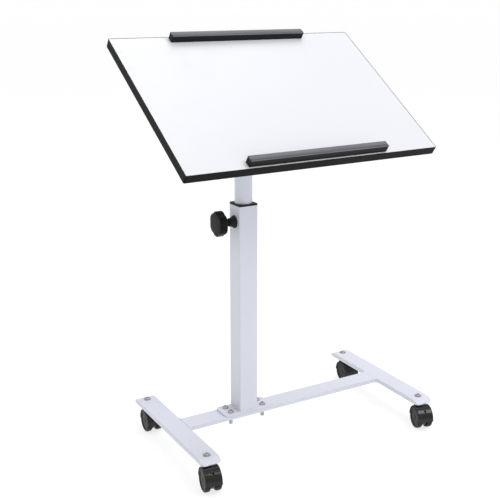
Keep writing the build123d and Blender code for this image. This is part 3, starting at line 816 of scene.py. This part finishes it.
# %% Thread the foot bolts
THREAD_PITCH = 0.00125
THREAD_RIDGE = 0.00042
THREAD_SINK = 0.0001
BOLT_RADIUS = 0.004
BOLT_HEAD_RADIUS = 0.007


def foot_bolt_axes():
    """Where the foot bolts stand, from the outline of their four heads."""
    low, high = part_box("foot_bolts")
    inset = BOLT_HEAD_RADIUS
    return [(x, y) for x in (low.x + inset, high.x - inset) for y in (low.y + inset, high.y - inset)]


bar_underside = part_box("crossbar")[0].z
tip_length = bar_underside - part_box("foot_bolts")[0].z
foot_threads = threads.cook(
    "foot_bolt_threads",
    [(x, y, bar_underside) for x, y in foot_bolt_axes()],
    [],
    Rod_radius=BOLT_RADIUS - THREAD_SINK,
    Pitch=THREAD_PITCH,
    Turns=tip_length / THREAD_PITCH - 1.0,
    Ridge=THREAD_RIDGE,
    Finish=bright_zinc,
)
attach(foot_threads, "stand")
print("foot bolt threads:", len(foot_threads.data.polygons), "faces")

# %% [markdown]
# ## Weld beads
# The stand is welded, then painted, so its seams show as soft scaly beads under the paint. The recipe
# takes the seam as a path, sweeps a small circle along it and swells its radius in even ripples, with
# some seeded noise. A painted bead is part of the steel, so it takes the same finish.

# %% Build the weld recipe
def weld_recipe():
    """A rippled bead along the edges it is given."""
    recipe = Recipe("Weld bead", Bead=float, Ripple=float, Seed=float, Finish=bpy.types.Material)
    given = recipe.given
    seam = recipe.node("GeometryNodeMeshToCurve", None, {"Mesh": recipe.source})
    step = {"Curve": seam, "Length": given("Ripple") * 0.25}
    seam = recipe.node("GeometryNodeResampleCurve", {"mode": "LENGTH"}, step)
    distance = recipe.node("GeometryNodeSplineParameter", output="Length")
    scale = recipe.maths("FRACT", distance / given("Ripple"))
    place = recipe.node("GeometryNodeInputPosition")
    pattern = {"Vector": place, "W": given("Seed"), "Scale": 160.0, "Detail": 2.0}
    wobble = recipe.node("ShaderNodeTexNoise", {"noise_dimensions": "4D"}, pattern)
    thickness = given("Bead") * (0.72 + 0.28 * scale + 0.35 * (wobble - 0.5))
    section = recipe.node("GeometryNodeCurvePrimitiveCircle", None, {"Resolution": 10, "Radius": 1.0})
    swept = {"Curve": seam, "Profile Curve": section, "Scale": thickness, "Fill Caps": True}
    bead = recipe.node("GeometryNodeCurveToMesh", None, swept)
    recipe.finish(recipe.node("GeometryNodeSetShadeSmooth", None, {"Geometry": bead}))
    return recipe


welds = weld_recipe()
print("recipe ready:", welds.tree.name)

# %% Weld the stand and the mast
WELD_RIPPLE = 0.0016
COLUMN_BEAD = 0.0013
THIN_BEAD = 0.0012
COLUMN_CORNER = 0.003
RING_STEPS = 48
LEG_SEAM_RISE = 0.001
LEG_SEAM_INSET = 0.012


def square_seam(low, high, corner, level):
    """A closed square path between two corners of a plan, with its own corners cut."""
    plan = [
        (low.x + corner, low.y),
        (high.x - corner, low.y),
        (high.x, low.y + corner),
        (high.x, high.y - corner),
        (high.x - corner, high.y),
        (low.x + corner, high.y),
        (low.x, high.y - corner),
        (low.x, low.y + corner),
    ]
    return [(x, y, level) for x, y in plan]


def round_seam(middle, radius, level):
    """A closed round path about a middle."""
    turns = [step * math.tau / RING_STEPS for step in range(RING_STEPS)]
    return [(middle.x + radius * math.cos(turn), middle.y + radius * math.sin(turn), level) for turn in turns]


def weld(name, path, closed, body, bead, seed):
    """One bead along a path, riding on a body."""
    edges = chain(len(path), closed)
    piece = welds.cook(name, path, edges, Bead=bead, Ripple=WELD_RIPPLE, Seed=seed, Finish=white_paint)
    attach(piece, body)


column_low, column_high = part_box("column")
foot_seam = square_seam(column_low, column_high, COLUMN_CORNER, column_low.z)
weld("column_foot_weld", foot_seam, True, "stand", COLUMN_BEAD, 1.0)

tube_low, tube_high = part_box("inner_tube")
mast_middle = Vector(joints["mast_turn"]["pos_m"])
yoke_seam = round_seam(mast_middle, (tube_high.x - tube_low.x) / 2, tube_high.z)
weld("yoke_weld", yoke_seam, True, "mast", THIN_BEAD, 2.0)

bar_low, bar_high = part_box("crossbar")
for leg, x, seed in (("left_leg", bar_low.x, 3.0), ("right_leg", bar_high.x, 4.0)):
    level = bar_low.z + LEG_SEAM_RISE
    leg_seam = [(x, bar_low.y + LEG_SEAM_INSET, level), (x, bar_high.y - LEG_SEAM_INSET, level)]
    weld(leg + "_weld", leg_seam, False, "stand", THIN_BEAD, seed)
print("weld beads on:", "column foot, yoke, both legs")

# %% [markdown]
# ## Floor and light
# A pale floor and three soft lamps give a calm product picture. It also glows a little, so that shadows on
# it stay faint. The key lamp stands high in front and to the right, and a broad, much weaker one fills from
# the left. The top lamp hangs nearly overhead, a little behind the object, so that level faces are brighter
# than upright ones. A white world at less than full strength fills in evenly from all sides.

# %% A pale floor
FLOOR_HALF = 150.0
FLOOR_GLOW = 0.76


def floor_finish():
    """A matt grey sheet that glows white, so that shadows on it stay faint."""
    finish = Finish("studio_floor", Specular_IOR_Level=0.1, Emission_Strength=FLOOR_GLOW)
    finish.shader.inputs["Emission Color"].default_value = grey(1.0)
    mottle = finish.noise(0.35, detail=3)
    fine = finish.noise(0.004, detail=2)
    colour = finish.mix(mottle, grey(0.29), grey(0.31))
    return finish.surface(colour, 0.80 + 0.1 * fine, fine, 0.00005)


floor_mesh = bpy.data.meshes.new("studio_floor")
floor_corners = [(x * FLOOR_HALF, y * FLOOR_HALF, 0.0) for x, y in ((-1, -1), (1, -1), (1, 1), (-1, 1))]
floor_mesh.from_pydata(floor_corners, [], [(0, 1, 2, 3)])
floor_mesh.materials.append(floor_finish())
floor = bpy.data.objects.new("studio_floor", floor_mesh)
bpy.context.scene.collection.objects.link(floor)
print("floor:", 2 * FLOOR_HALF, "m square")

# %% Soft lamps and an even world
# For each lamp: azimuth and elevation in degrees, distance and size in metres, and power in watts.
LAMPS = {
    "key_lamp": (35, 50, 2.6, 1.2, 26),
    "fill_lamp": (-65, 58, 2.8, 2.0, 7),
    "top_lamp": (150, 72, 4.0, 2.4, 62),
}
WORLD_STRENGTH = 0.7


def direction_to(azimuth, elevation):
    """The direction towards a viewpoint. Azimuth 0 is in front and 90 to the right, both in degrees."""
    a, e = math.radians(azimuth), math.radians(elevation)
    return Vector((math.sin(a) * math.cos(e), -math.cos(a) * math.cos(e), math.sin(e)))


def softbox(name, azimuth, elevation, distance, size, watts, target):
    """A square area lamp on a sphere round the target, facing it."""
    back = direction_to(azimuth, elevation)
    lamp = bpy.data.lights.new(name, "AREA")
    lamp.size = size
    lamp.energy = watts
    holder = bpy.data.objects.new(name, lamp)
    holder.location = target + back * distance
    holder.rotation_euler = (-back).to_track_quat("-Z", "Y").to_euler()
    bpy.context.scene.collection.objects.link(holder)


middle = (cad_box[0] + cad_box[1]) / 2
for name, lamp in LAMPS.items():
    softbox(name, *lamp, middle)
world = bpy.data.worlds.new("studio_world")
world.use_nodes = True
backdrop = world.node_tree.nodes["Background"]
backdrop.inputs["Color"].default_value = (1.0, 1.0, 1.0, 1.0)
backdrop.inputs["Strength"].default_value = WORLD_STRENGTH
bpy.context.scene.world = world
bpy.context.scene.view_settings.view_transform = "Standard"
print("lamps:", *LAMPS)

# %% [markdown]
# ## Camera
# The camera stands to the left of the board's front, a little above it, and looks slightly down. Its
# place is worked out from two angles, a distance and the point it looks at.

# %% Set the camera
VIEW_AZIMUTH = -29.95
VIEW_ELEVATION = 16.16
VIEW_DISTANCE = 1.9392
VIEW_TARGET = Vector((-0.0600, 0.0297, 0.4313))
VIEW_LENS = 63.89
FILM_WIDTH = 36.0
FAR_CLIP = 400.0

camera = bpy.data.objects.new("camera", bpy.data.cameras.new("camera"))
camera.data.lens = VIEW_LENS
camera.data.sensor_width = FILM_WIDTH
camera.data.clip_end = FAR_CLIP
camera.location = VIEW_TARGET + direction_to(VIEW_AZIMUTH, VIEW_ELEVATION) * VIEW_DISTANCE
camera.rotation_euler = (math.radians(90 - VIEW_ELEVATION), 0.0, math.radians(VIEW_AZIMUTH))
bpy.context.scene.collection.objects.link(camera)
bpy.context.scene.camera = camera
print("camera at", [round(x, 3) for x in camera.location])
